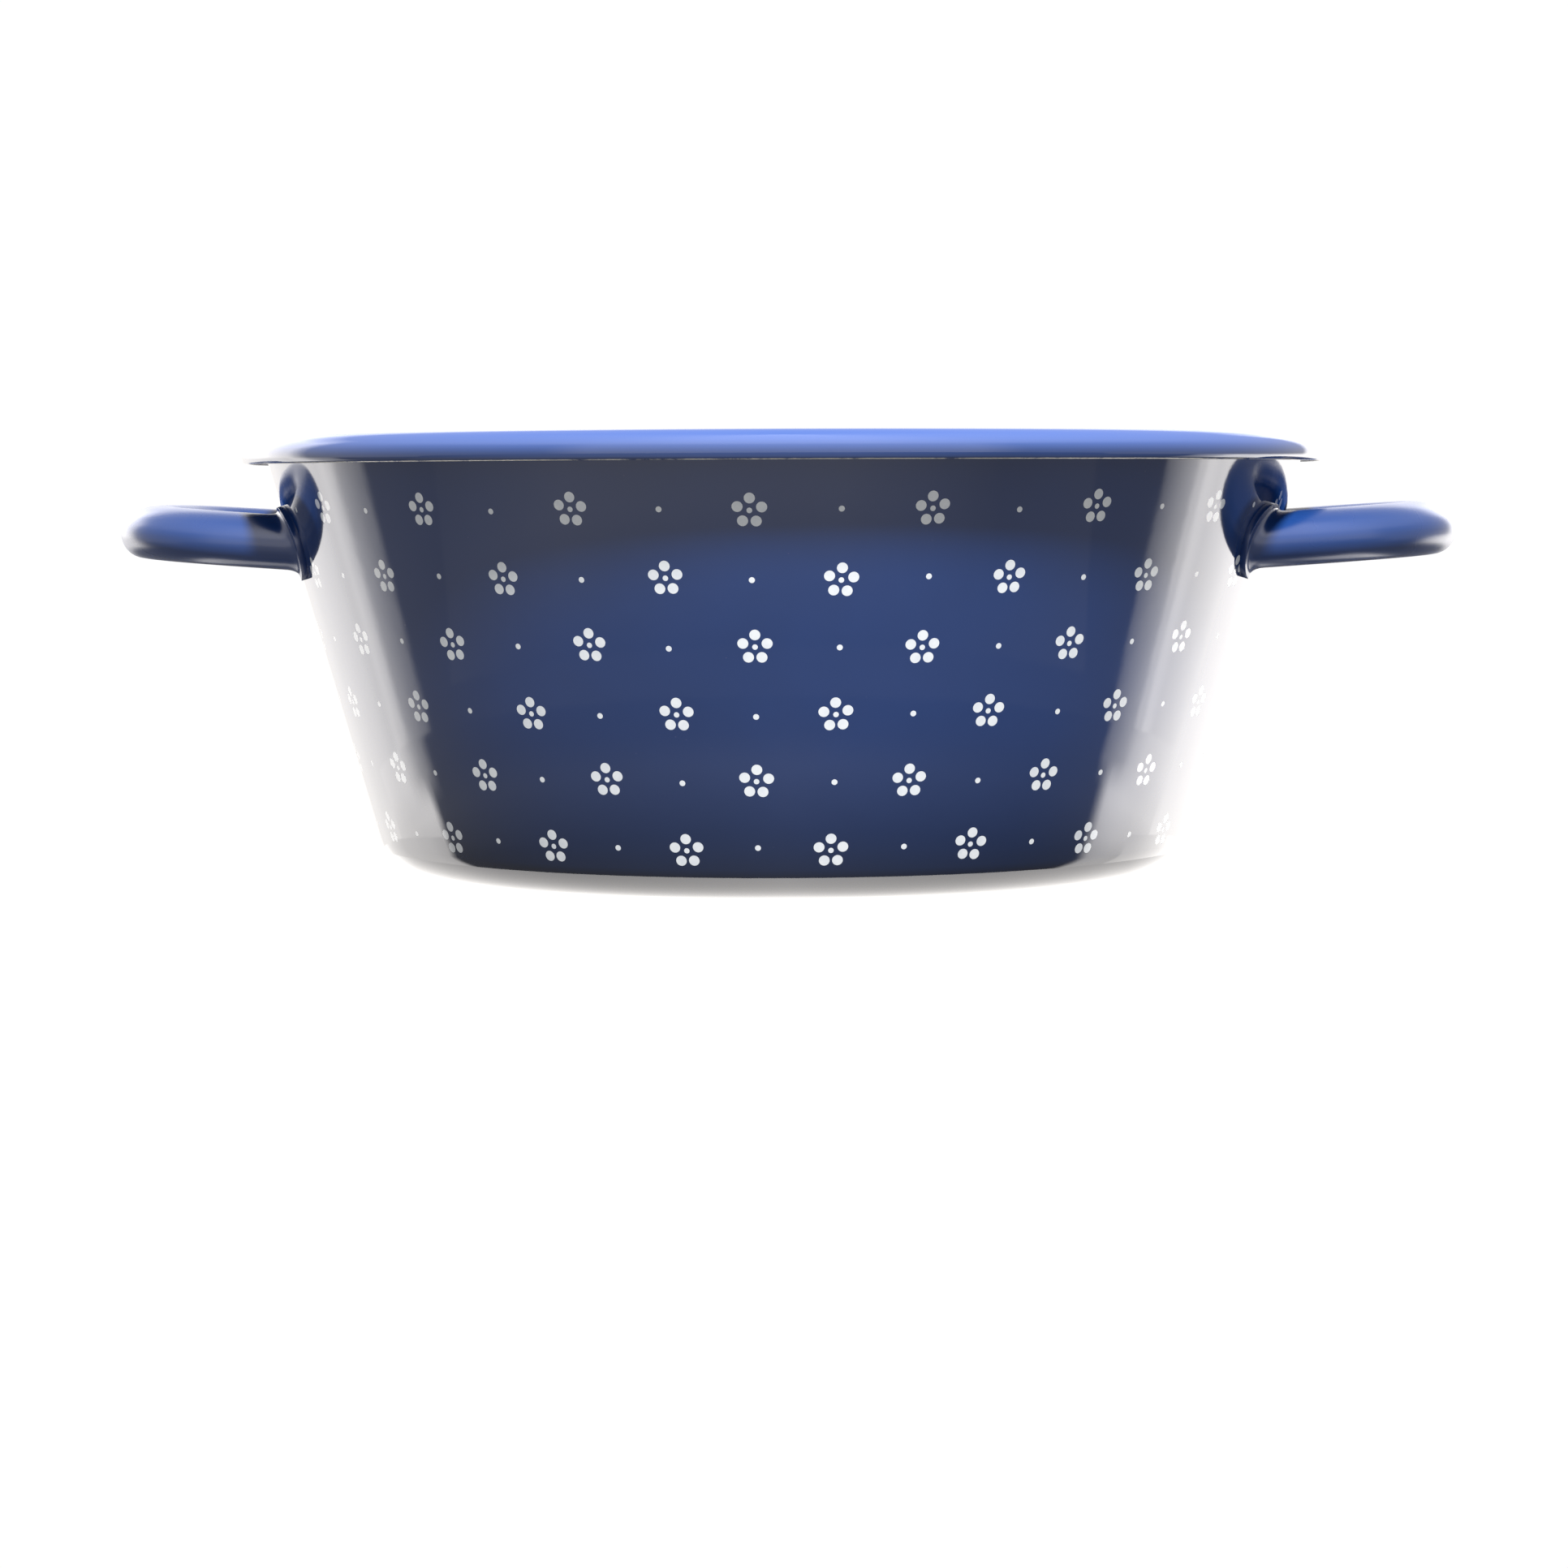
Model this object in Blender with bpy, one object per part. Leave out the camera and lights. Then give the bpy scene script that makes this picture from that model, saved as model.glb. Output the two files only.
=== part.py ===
"""Enamelled sheet-steel colander: a flared bowl with a turned lip and a perforated base,
and two pressed loop handles whose flanged ends are welded to the wall. Metres, +Z up."""
import math

import bmesh
import bpy
from mathutils import Vector

# Bowl, with the wall measured on its outer face
HEIGHT = 0.1048
BASE_RADIUS = 0.0965            # the wall carried down to the standing plane
WALL_FLARE = math.radians(16.0)
SHEET = 0.0012                  # steel and enamel together
CORNER_RADIUS = 0.011
STAND_RING_WIDTH = 0.0085       # flat ring that the bowl stands on
PANEL_RISE = 0.002
PANEL_STEP_RADIUS = 0.0025
LIP_RADIUS = 0.1311             # over the outside of the curl
LIP_BEND = 0.0006               # hollow side of the bend from the wall out into the lip
LIP_FALL = 0.0033               # hollow side of the curl, from its top to its outermost line
LIP_TUCK = math.radians(31)     # how far the curl goes on under that line

# Drain holes, in rings about the centre of the base
HOLE_DIAMETER = 0.005
HOLE_PITCH = 0.0128
HOLE_EDGE_MARGIN = 0.0035       # least plain panel outside the last ring
HOLES_PER_RING_STEP = 6

# Handle loop, seen from above
HANDLE_REACH = 0.0445           # from the wall to the tip of the loop
LOOP_WIDTH = 0.091              # over the outsides of the arms
LOOP_SQUARENESS = 2.9           # 2 is an ellipse, more is squarer
HANDLE_DROP = 0.0313            # from the top of the lip to the underside of the arms
HANDLE_TILT = math.radians(3.8)

# Handle section: a hollow channel, open underneath
CHANNEL_WIDTH = 0.017
CHANNEL_HEIGHT = 0.0128
CROWN_INSET = 0.0065            # from the finger side to the top of the crown
INNER_SHOULDER = 0.005
INNER_SKIRT = 0.0045            # straight finger side below the shoulder
NOSE_HEIGHT = 0.006
UNDER_TURN = 0.0055             # how far the lower edge turns back under the nose

# Welded ends of the handle: narrow flanges that lie on the wall round the channel
HANDLE_SHEET = 0.0012
WELD_GAP = 0.0003
FLANGE_MARGIN = 0.0022          # beyond each side of the channel and above it
FLANGE_DROP = 0.003             # below the underside of the arm
FLANGE_WIDEST = 0.0075          # above the underside of the arm
FLANGE_TOP_SQUARENESS = 1.8     # above the widest line, 2 is an ellipse
FLANGE_POINT_SQUARENESS = 2.0   # below it, less than 2 is pointed
FLANGE_BEND = 0.003             # length of the bend from the arm to the flange
FLANGE_BEND_SHARE = 0.6         # the most of the flange that the bend may take
FLANGE_INNER_END = math.radians(222)
FLANGE_OUTER_END = math.radians(-70)

# Faceting
BOWL_STEPS = 72
PANEL_STEP_STEPS = 2
CORNER_STEPS = 5
LIP_BEND_STEPS = 2
CURL_STEPS = 6
HOLE_SIDES = 10
LOOP_STATIONS = 21
BEND_STATIONS = 4
CROWN_STEPS = (5, 6)            # finger side and outer side of the crown
UNDER_STEPS = 3
CREASE_ANGLE = math.radians(35)

# Working values
CUTTER_DEPTH = 6 * SHEET
MERGE_DISTANCE = 1e-6
FOOT_PASSES = 20                # refinements of where an arm meets the wall
TURN_TRIM = 0.002               # step by which the loop is shortened to clear the bends

ENAMEL_BLUE = (0.012, 0.035, 0.17, 1.0)
ENAMEL_ROUGHNESS = 0.12


def wall_radius(z):
    """Outer radius of the bowl's wall at height z."""
    return BASE_RADIUS + z * math.tan(WALL_FLARE)


def arc(centre, semi_axes, start_deg, end_deg, steps):
    """Points along part of an ellipse, both ends included."""
    points = []
    for k in range(steps + 1):
        angle = math.radians(start_deg + (end_deg - start_deg) * k / steps)
        points.append((centre[0] + semi_axes[0] * math.cos(angle),
                       centre[1] + semi_axes[1] * math.sin(angle)))
    return points


def enamel(name):
    """Glossy blue enamel for one piece."""
    material = bpy.data.materials.new(name)
    material.use_nodes = True
    shader = material.node_tree.nodes["Principled BSDF"]
    shader.inputs["Base Color"].default_value = ENAMEL_BLUE
    shader.inputs["Roughness"].default_value = ENAMEL_ROUGHNESS
    shader.inputs["Metallic"].default_value = 0.0
    return material


def add_object(name, mesh, material=None):
    """Put a mesh in the scene under its piece's name, shaded smooth with sharp creases kept."""
    piece = bpy.data.objects.new(name, mesh)
    bpy.context.scene.collection.objects.link(piece)
    if material:
        mesh.materials.append(material)
    mesh.shade_smooth()
    mesh.set_sharp_from_angle(angle=CREASE_ANGLE)
    return piece


# Bowl

def lip_bend_centre():
    """Centre of the bend from the wall out into the lip, as radius and height, tangent to the wall."""
    z = HEIGHT - SHEET - LIP_BEND
    return wall_radius(z) + LIP_BEND / math.cos(WALL_FLARE), z


def panel_radius():
    """Radius of the flat, perforated panel, and of the step's foot outside it."""
    corner_length = CORNER_RADIUS * math.tan((math.pi / 2 - WALL_FLARE) / 2)
    step_angle = math.acos(1 - PANEL_RISE / (2 * PANEL_STEP_RADIUS))
    foot = BASE_RADIUS - corner_length - STAND_RING_WIDTH
    return foot - 2 * PANEL_STEP_RADIUS * math.sin(step_angle), foot


def bowl_profile():
    """Outer face of the bowl's sheet, as (radius, height) from the panel out to the lip's edge."""
    panel, foot = panel_radius()
    flare_deg = math.degrees(WALL_FLARE)
    step_deg = math.degrees(math.acos(1 - PANEL_RISE / (2 * PANEL_STEP_RADIUS)))
    step_axes = (PANEL_STEP_RADIUS, PANEL_STEP_RADIUS)
    upper_step = arc((panel, PANEL_RISE - PANEL_STEP_RADIUS), step_axes, 90, 90 - step_deg,
                     PANEL_STEP_STEPS)
    lower_step = arc((foot, PANEL_STEP_RADIUS), step_axes, 270 - step_deg, 270, PANEL_STEP_STEPS)
    corner_centre = (foot + STAND_RING_WIDTH, CORNER_RADIUS)
    corner = arc(corner_centre, (CORNER_RADIUS, CORNER_RADIUS), 270, 360 - flare_deg, CORNER_STEPS)
    bend_centre = lip_bend_centre()
    bend = arc(bend_centre, (LIP_BEND, LIP_BEND), 180 - flare_deg, 90, LIP_BEND_STEPS)
    curl_centre = (bend_centre[0], HEIGHT - SHEET - LIP_FALL)
    curl_axes = (LIP_RADIUS - SHEET - bend_centre[0], LIP_FALL)
    curl = arc(curl_centre, curl_axes, 90, -math.degrees(LIP_TUCK), CURL_STEPS)
    return upper_step + lower_step[1:] + corner + bend + curl[1:]


def drain_hole_cutter():
    """One prism for each drain hole, in rings about the centre of the panel."""
    hole_radius = HOLE_DIAMETER / 2
    panel, _ = panel_radius()
    rings = int((panel - HOLE_EDGE_MARGIN - hole_radius) / HOLE_PITCH)
    mesh = bpy.data.meshes.new("drain_hole_cutter")
    bm = bmesh.new()
    for ring in range(rings + 1):
        count = max(1, HOLES_PER_RING_STEP * ring)
        for k in range(count):
            angle = 2 * math.pi * (k + 0.5 * (ring % 2)) / count
            hole = bmesh.ops.create_cone(bm, cap_ends=True, segments=HOLE_SIDES, radius1=hole_radius,
                                         radius2=hole_radius, depth=CUTTER_DEPTH)
            place = Vector((math.cos(angle), math.sin(angle), 0)) * ring * HOLE_PITCH
            place.z = PANEL_RISE + SHEET / 2
            bmesh.ops.translate(bm, verts=hole["verts"], vec=place)
    bm.to_mesh(mesh)
    bm.free()
    cutter = add_object("drain_hole_cutter", mesh)
    cutter.hide_render = True
    cutter.display_type = "WIRE"
    return cutter


def make_bowl():
    """Deep-drawn bowl: base, wall and lip are one sheet, thickened inwards, then perforated."""
    mesh = bpy.data.meshes.new("bowl")
    bm = bmesh.new()
    chain = [bm.verts.new((radius, 0, z)) for radius, z in bowl_profile()]
    edges = [bm.edges.new(pair) for pair in zip(chain, chain[1:])]
    bmesh.ops.spin(bm, geom=chain + edges, cent=(0, 0, 0), axis=(0, 0, 1), angle=2 * math.pi,
                   steps=BOWL_STEPS, use_duplicate=False)
    bmesh.ops.remove_doubles(bm, verts=bm.verts, dist=MERGE_DISTANCE)
    inner_edge = [e for e in bm.edges if e.is_boundary and e.verts[0].co.z < HEIGHT / 2]
    bmesh.ops.contextual_create(bm, geom=inner_edge)
    bmesh.ops.recalc_face_normals(bm, faces=bm.faces)
    panel_face = min(bm.faces, key=lambda face: face.calc_center_median().xy.length)
    if panel_face.normal.z > 0:
        bmesh.ops.reverse_faces(bm, faces=bm.faces)
    bm.to_mesh(mesh)
    bm.free()
    bowl = add_object("bowl", mesh, enamel("bowl_enamel"))
    wall = bowl.modifiers.new("sheet", "SOLIDIFY")
    wall.thickness = SHEET
    wall.offset = -1
    wall.use_even_offset = True
    drain = bowl.modifiers.new("drain_holes", "BOOLEAN")
    drain.operation = "DIFFERENCE"
    drain.solver = "EXACT"
    drain.object = drain_hole_cutter()
    return bowl


# Handles

def channel_section():
    """Outer face of the handle's channel, from the finger side over the crown to the turned edge.

    Points are (across, up), with across 0 on the loop's centre line.
    """
    half = CHANNEL_WIDTH / 2
    crown = CROWN_INSET - half
    inner_centre = (crown, CHANNEL_HEIGHT - INNER_SHOULDER)
    inner = arc(inner_centre, (CROWN_INSET, INNER_SHOULDER), 180, 90, CROWN_STEPS[0])
    outer_axes = (half - crown, CHANNEL_HEIGHT - NOSE_HEIGHT)
    outer = arc((crown, NOSE_HEIGHT), outer_axes, 90, 0, CROWN_STEPS[1])
    under = arc((half - UNDER_TURN, NOSE_HEIGHT), (UNDER_TURN, NOSE_HEIGHT), 0, -90, UNDER_STEPS)
    skirt = [(-half, CHANNEL_HEIGHT - INNER_SHOULDER - INNER_SKIRT)]
    return skirt + inner + outer[1:] + under[1:]


def flange_outline(section):
    """Points (across, up) of the flange's edge, one for each point of the channel's section."""
    crown = CROWN_STEPS[0] + 1
    last = len(section) - 1
    above = CHANNEL_HEIGHT + FLANGE_MARGIN - FLANGE_WIDEST
    below = FLANGE_WIDEST + FLANGE_DROP
    half_width = CHANNEL_WIDTH / 2 + FLANGE_MARGIN
    outline = []
    for k in range(last + 1):
        if k <= crown:
            angle = FLANGE_INNER_END + (math.pi / 2 - FLANGE_INNER_END) * k / crown
        else:
            angle = math.pi / 2 + (FLANGE_OUTER_END - math.pi / 2) * (k - crown) / (last - crown)
        cosine, sine = math.cos(angle), math.sin(angle)
        height, squareness = (above, FLANGE_TOP_SQUARENESS) if sine > 0 else (below, FLANGE_POINT_SQUARENESS)
        across = math.copysign(half_width * abs(cosine) ** (2 / squareness), cosine)
        climb = math.copysign(height * abs(sine) ** (2 / squareness), sine)
        outline.append((across, FLANGE_WIDEST + climb))
    return outline


def handle_base_height():
    """Height of the arms' underside where they meet the wall."""
    return HEIGHT - HANDLE_DROP


def loop_frame(turn):
    """Point on the loop's level centre line, and its sideways direction, at a turn from -90 to 90 degrees."""
    reach_from = wall_radius(handle_base_height())
    half_width = (LOOP_WIDTH - CHANNEL_WIDTH) / 2
    start = math.sqrt(reach_from ** 2 - half_width ** 2)
    depth = reach_from + HANDLE_REACH - CHANNEL_WIDTH / 2 - start
    power = 2 / LOOP_SQUARENESS
    cosine, sine = math.cos(turn), math.sin(turn)
    point = Vector((start + depth * cosine ** power, math.copysign(half_width * abs(sine) ** power, sine), 0))
    slope = 2 - power
    side = Vector((cosine ** slope / depth, math.copysign(abs(sine) ** slope / half_width, sine), 0))
    return point, side.normalized()


def tilted(point):
    """Lift a point of the level loop to its height, tilted up and out from the wall."""
    pivot = wall_radius(handle_base_height())
    out = point.x - pivot
    return Vector((pivot + out * math.cos(HANDLE_TILT) - point.z * math.sin(HANDLE_TILT), point.y,
                   handle_base_height() + out * math.sin(HANDLE_TILT) + point.z * math.cos(HANDLE_TILT)))


def on_wall(angle, z, offset):
    """Point at an angle about the bowl's axis, standing off the wall's outer face."""
    radius = wall_radius(z) + offset * math.cos(WALL_FLARE)
    return Vector((radius * math.cos(angle), radius * math.sin(angle), z - offset * math.sin(WALL_FLARE)))


def arm_foot(point, direction, offset):
    """Where an arm's surface line, followed back along the arm, reaches the sheet on the wall."""
    reach = 0.0
    for _ in range(FOOT_PASSES):
        place = point + direction * reach
        away = wall_radius(place.z) + offset / math.cos(WALL_FLARE)
        reach += (math.sqrt(max(away ** 2 - place.y ** 2, 0.0)) - place.x) / direction.x
    return point + direction * reach


def welded_end(section, side):
    """Rows of outer-face points from the flange's edge on the wall up to the straight arm."""
    offset = WELD_GAP + HANDLE_SHEET
    half_width = (LOOP_WIDTH - CHANNEL_WIDTH) / 2
    arm = Vector((math.cos(HANDLE_TILT), 0, math.sin(HANDLE_TILT)))
    pivot = wall_radius(handle_base_height())
    rows = [[] for _ in range(BEND_STATIONS + 2)]
    for (across, up), (edge_across, edge_up) in zip(section, flange_outline(section)):
        level = Vector((pivot, side * (half_width + across), up))
        foot = arm_foot(tilted(level), arm, offset)
        wall_z = foot.z + offset * math.sin(WALL_FLARE)
        angle = math.atan2(foot.y, foot.x)
        turn = side * (edge_across - across) / wall_radius(wall_z)
        climb = handle_base_height() + edge_up - wall_z
        share = min(FLANGE_BEND_SHARE, FLANGE_BEND / math.hypot(edge_across - across, climb))
        on_flange = on_wall(angle + turn * share, wall_z + climb * share, offset)
        on_arm = foot + arm * FLANGE_BEND
        rows[0].append(on_wall(angle + turn, wall_z + climb, offset))
        for k in range(BEND_STATIONS + 1):
            t = k / BEND_STATIONS
            rows[k + 1].append(on_flange * (1 - t) ** 2 + foot * 2 * t * (1 - t) + on_arm * t ** 2)
    return rows


def handle_rows():
    """Outer-face rows of the whole handle, from one welded end round the loop to the other."""
    section = channel_section()
    first = welded_end(section, -1)
    last = welded_end(section, 1)
    pivot = wall_radius(handle_base_height())
    clear = max(point.x for point in first[-1]) - pivot + FLANGE_BEND / 2
    turn_limit = math.pi / 2
    while loop_frame(turn_limit)[0].x < pivot + clear:
        turn_limit -= TURN_TRIM
    loop = []
    for k in range(LOOP_STATIONS):
        point, outward = loop_frame(turn_limit * (2 * k / (LOOP_STATIONS - 1) - 1))
        loop.append([tilted(point + outward * across + Vector((0, 0, up))) for across, up in section])
    return first + loop + last[::-1]


def sheet_normals(rows):
    """Unit normals of a grid of surface points, pointing away from the hollow of the channel."""
    normals = []
    for i, row in enumerate(rows):
        before, after = rows[max(i - 1, 0)], rows[min(i + 1, len(rows) - 1)]
        line = []
        for j in range(len(row)):
            along = after[j] - before[j]
            across = row[min(j + 1, len(row) - 1)] - row[max(j - 1, 0)]
            line.append(along.cross(across).normalized())
        normals.append(line)
    crown = len(rows) // 2
    top = max(range(len(rows[crown])), key=lambda j: rows[crown][j].z)
    flip = 1 if normals[crown][top].z > 0 else -1
    return [[normal * flip for normal in line] for line in normals]


def make_handle_mesh():
    """One pressed handle as a closed sheet: outer face, hidden face and the four edges between them."""
    outer = handle_rows()
    normals = sheet_normals(outer)
    hidden = [[p - n * HANDLE_SHEET for p, n in zip(row, line)] for row, line in zip(outer, normals)]
    mesh = bpy.data.meshes.new("handle")
    bm = bmesh.new()
    faces = []
    for grid in (outer, hidden):
        faces.append([[bm.verts.new(point) for point in row] for row in grid])
    top, under = faces
    last_row, last_column = len(top) - 1, len(top[0]) - 1
    for grid in faces:
        for i in range(last_row):
            for j in range(last_column):
                bm.faces.new((grid[i][j], grid[i + 1][j], grid[i + 1][j + 1], grid[i][j + 1]))
    for j in range(last_column):
        for i in (0, last_row):
            bm.faces.new((top[i][j], top[i][j + 1], under[i][j + 1], under[i][j]))
    for i in range(last_row):
        for j in (0, last_column):
            bm.faces.new((top[i][j], top[i + 1][j], under[i + 1][j], under[i][j]))
    bmesh.ops.recalc_face_normals(bm, faces=bm.faces)
    bm.to_mesh(mesh)
    bm.free()
    return mesh


def make_handles():
    """The same pressed handle on either side of the bowl."""
    for name, turn in (("handle_right", 0.0), ("handle_left", math.pi)):
        handle = add_object(name, make_handle_mesh(), enamel(name + "_enamel"))
        handle.rotation_euler.z = turn


def main():
    for old in list(bpy.data.objects):
        bpy.data.objects.remove(old, do_unlink=True)
    make_bowl()
    make_handles()


main()
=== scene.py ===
"""Looks of the enamelled colander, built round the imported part: fine bowl and handles, printed
flowers, enamel materials, studio stage and camera. Metres, +Z up."""
import math
import random

import bmesh
import bpy
from mathutils import Matrix, Vector
from mathutils.geometry import delaunay_2d_cdt


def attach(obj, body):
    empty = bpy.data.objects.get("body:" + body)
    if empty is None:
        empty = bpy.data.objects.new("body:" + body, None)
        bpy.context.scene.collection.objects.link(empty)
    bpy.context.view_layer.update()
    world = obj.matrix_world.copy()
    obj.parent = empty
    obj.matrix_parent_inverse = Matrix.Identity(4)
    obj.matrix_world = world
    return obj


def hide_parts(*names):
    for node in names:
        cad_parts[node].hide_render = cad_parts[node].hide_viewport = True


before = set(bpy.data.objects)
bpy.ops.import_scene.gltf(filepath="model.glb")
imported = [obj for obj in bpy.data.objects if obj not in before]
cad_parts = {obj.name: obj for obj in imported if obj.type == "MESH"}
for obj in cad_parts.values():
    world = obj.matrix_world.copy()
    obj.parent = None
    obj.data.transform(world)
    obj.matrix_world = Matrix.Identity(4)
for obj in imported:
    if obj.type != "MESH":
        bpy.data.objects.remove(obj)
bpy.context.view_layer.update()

# Bowl, as in the part's source
HEIGHT = 0.1048
BASE_RADIUS = 0.0965
WALL_FLARE = math.radians(16.0)
SHEET = 0.0012
CORNER_RADIUS = 0.011
STAND_RING_WIDTH = 0.0085
PANEL_RISE = 0.002
PANEL_STEP_RADIUS = 0.0025
LIP_RADIUS = 0.1311
LIP_BEND = 0.0006
LIP_FALL = 0.0033
LIP_TUCK = math.radians(31)
HOLE_DIAMETER = 0.005
HOLE_PITCH = 0.0128
HOLE_EDGE_MARGIN = 0.0035
HOLES_PER_RING_STEP = 6

# Handles, as in the part's source
HANDLE_REACH = 0.0445
LOOP_WIDTH = 0.091
LOOP_SQUARENESS = 2.9
HANDLE_DROP = 0.0313
HANDLE_TILT = math.radians(3.8)
CHANNEL_WIDTH = 0.017
CHANNEL_HEIGHT = 0.0128
CROWN_INSET = 0.0065
INNER_SHOULDER = 0.005
INNER_SKIRT = 0.0045
NOSE_HEIGHT = 0.006
UNDER_TURN = 0.0055
HANDLE_SHEET = 0.0012
WELD_GAP = 0.0003
FLANGE_MARGIN = 0.0022
FLANGE_DROP = 0.003
FLANGE_WIDEST = 0.0075
FLANGE_TOP_SQUARENESS = 1.8
FLANGE_POINT_SQUARENESS = 2.0
FLANGE_BEND = 0.003
FLANGE_BEND_SHARE = 0.6
FLANGE_INNER_END = math.radians(222)
FLANGE_OUTER_END = math.radians(-70)

# Fine shape of the visual pieces
BOWL_STEPS = 288
STEP_ARC_STEPS = 6
CORNER_STEPS = 16
LIP_BEND_STEPS = 8
CURL_STEPS = 20
STAND_RING_STEPS = 4
EDGE_STEPS = 8
WALL_STEPS = 24
HOLE_SIDES = 28
HOLE_ROUND = 0.00035
HOLE_FLAT = 0.00025
HOLE_ROUND_STEPS = 4
PANEL_FLAT = 0.0005
FILL_MERGE = 1e-9
LOOP_STATIONS = 121
BEND_STATIONS = 14
FLANGE_STATIONS = 6
CROWN_STEPS = (14, 20)
UNDER_STEPS = 8
SKIRT_STEPS = 4
FOOT_PASSES = 30
TURN_TRIM = 0.001
WELD_FILL = 0.00005
EDGE_ROUND = 0.00045
EDGE_ROUND_STEPS = 3
EDGE_ANGLE = math.radians(50)

# Print
PRINT_ROWS = (0.0877, 0.0727, 0.0577, 0.0427, 0.0277, 0.0126)
FLOWERS_PER_ROW = 19
ROW_SHRINK = (0.004, 0.005)
PETAL_ANGLES = (0, 73, 148, -148, -73)
PETAL_CIRCLE = 0.00276
PETAL_RADIUS = 0.0012
EYE_RADIUS = 0.00062
DOT_RADIUS = 0.00066
PRINT_THICKNESS = 0.00001
PRINT_TURN = math.radians(1.3)
PRINT_WANDER = 0.0004
PRINT_TWIST = math.radians(4)
PETAL_SIDES = 24
DISC_RINGS = (0.6, 1.0)
PRINT_SEED = 7

# Enamel: gloss as least and greatest roughness, colours as linear red, green, blue, opacity
ENAMEL_IOR = 1.5
BOWL_GLOSS = (0.045, 0.085)
HANDLE_GLOSS = (0.22, 0.30)
PRINT_GLOSS = (0.06, 0.10)
BLUE_DEEP = (0.0065, 0.0295, 0.122, 1)
BLUE_LIGHT = (0.0085, 0.0365, 0.154, 1)
PIT_BLUE = (0.035, 0.055, 0.16, 1)
# Painted shade: the wall's blue darkens towards its foot, standing in for the shade there; below, the
# height where it ends and the curve of its fade
FOOT_PAINTED_SHADE = (0.004, 0.01, 0.03, 1)
FOOT_SHADE_TOP = 0.05
FOOT_SHADE_POWER = 1.6
# Painted light: paler enamel on the outer side of the lip's curl, standing in for the light it catches;
# below, how fast and where along the curl it fades in
LIP_PAINTED_LIGHT = (0.045, 0.088, 0.27, 1)
LIP_LIGHT_RISE = 3.3
LIP_LIGHT_START = 0.4
WORN_EDGE = (0.66, 0.64, 0.58, 1)
HOLE_WEAR = 0.45
PRINT_THIN = (0.76, 0.80, 0.86, 1)
PRINT_FULL = (0.86, 0.89, 0.92, 1)

# Photographed view
VIEW_TURN = math.radians(4.8)
VIEW_DISTANCE = 1.0
VIEW_HEIGHT = 0.0919
VIEW_PITCH = math.radians(4.117)
VIEW_ROLL = math.radians(-0.217)
VIEW_SIDE = -0.00036
IMAGE_SIDE = 1932
FOCAL_PIXELS = 5045
SENSOR_WIDTH = 36.0
VIEW_LIMIT = 50.0


def wall_radius(z):
    """Outer radius of the bowl's wall at height z."""
    return BASE_RADIUS + z * math.tan(WALL_FLARE)


def arc(centre, semi_axes, start_deg, end_deg, steps):
    """Points along part of an ellipse, both ends included."""
    points = []
    for k in range(steps + 1):
        angle = math.radians(start_deg + (end_deg - start_deg) * k / steps)
        points.append((centre[0] + semi_axes[0] * math.cos(angle),
                       centre[1] + semi_axes[1] * math.sin(angle)))
    return points


def between(first, last, steps):
    """Points strictly between two points."""
    return [(first[0] + (last[0] - first[0]) * k / steps, first[1] + (last[1] - first[1]) * k / steps)
            for k in range(1, steps)]


def add_object(name, mesh, material):
    """Put a mesh in the scene, shaded smooth."""
    piece = bpy.data.objects.new(name, mesh)
    bpy.context.scene.collection.objects.link(piece)
    mesh.materials.append(material)
    mesh.shade_smooth()
    return piece


# Bowl

def lip_bend_centre():
    """Centre of the bend from the wall out into the lip, as radius and height."""
    z = HEIGHT - SHEET - LIP_BEND
    return wall_radius(z) + LIP_BEND / math.cos(WALL_FLARE), z


def lip_curl(inset):
    """Centre and half-axes of the lip's curl."""
    radius, _ = lip_bend_centre()
    across = LIP_RADIUS - SHEET - radius
    return (radius, HEIGHT - SHEET - LIP_FALL), (across + inset, LIP_FALL + inset)


def panel_radius():
    """Radius of the flat panel, and of the step's foot outside it."""
    corner_length = CORNER_RADIUS * math.tan((math.pi / 2 - WALL_FLARE) / 2)
    step_angle = math.acos(1 - PANEL_RISE / (2 * PANEL_STEP_RADIUS))
    foot = BASE_RADIUS - corner_length - STAND_RING_WIDTH
    return foot - 2 * PANEL_STEP_RADIUS * math.sin(step_angle), foot


def lip_end_deg():
    """How far the curl goes under before its edge is rounded off."""
    return math.degrees(LIP_TUCK - SHEET / (2 * LIP_FALL + SHEET))


def bowl_face(inset):
    """One face of the sheet, from the panel out to the lip's edge, inset from the outer face."""
    panel, foot = panel_radius()
    flare_deg = math.degrees(WALL_FLARE)
    step_deg = math.degrees(math.acos(1 - PANEL_RISE / (2 * PANEL_STEP_RADIUS)))
    up, down = PANEL_STEP_RADIUS + inset, PANEL_STEP_RADIUS - inset
    corner, bend = CORNER_RADIUS - inset, LIP_BEND + inset
    start = [(panel - PANEL_FLAT, PANEL_RISE + inset)]
    upper = arc((panel, PANEL_RISE - PANEL_STEP_RADIUS), (up, up), 90, 90 - step_deg, STEP_ARC_STEPS)
    lower = arc((foot, PANEL_STEP_RADIUS), (down, down), 270 - step_deg, 270, STEP_ARC_STEPS)
    corner_centre = (foot + STAND_RING_WIDTH, CORNER_RADIUS)
    turn = arc(corner_centre, (corner, corner), 270, 360 - flare_deg, CORNER_STEPS)
    out = arc(lip_bend_centre(), (bend, bend), 180 - flare_deg, 90, LIP_BEND_STEPS)
    curl = arc(*lip_curl(inset), 90, -lip_end_deg(), CURL_STEPS)
    stand = between(lower[-1], turn[0], STAND_RING_STEPS)
    wall = between(turn[-1], out[0], WALL_STEPS)
    return start + upper + lower[1:] + stand + turn + wall + out + curl[1:]


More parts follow.
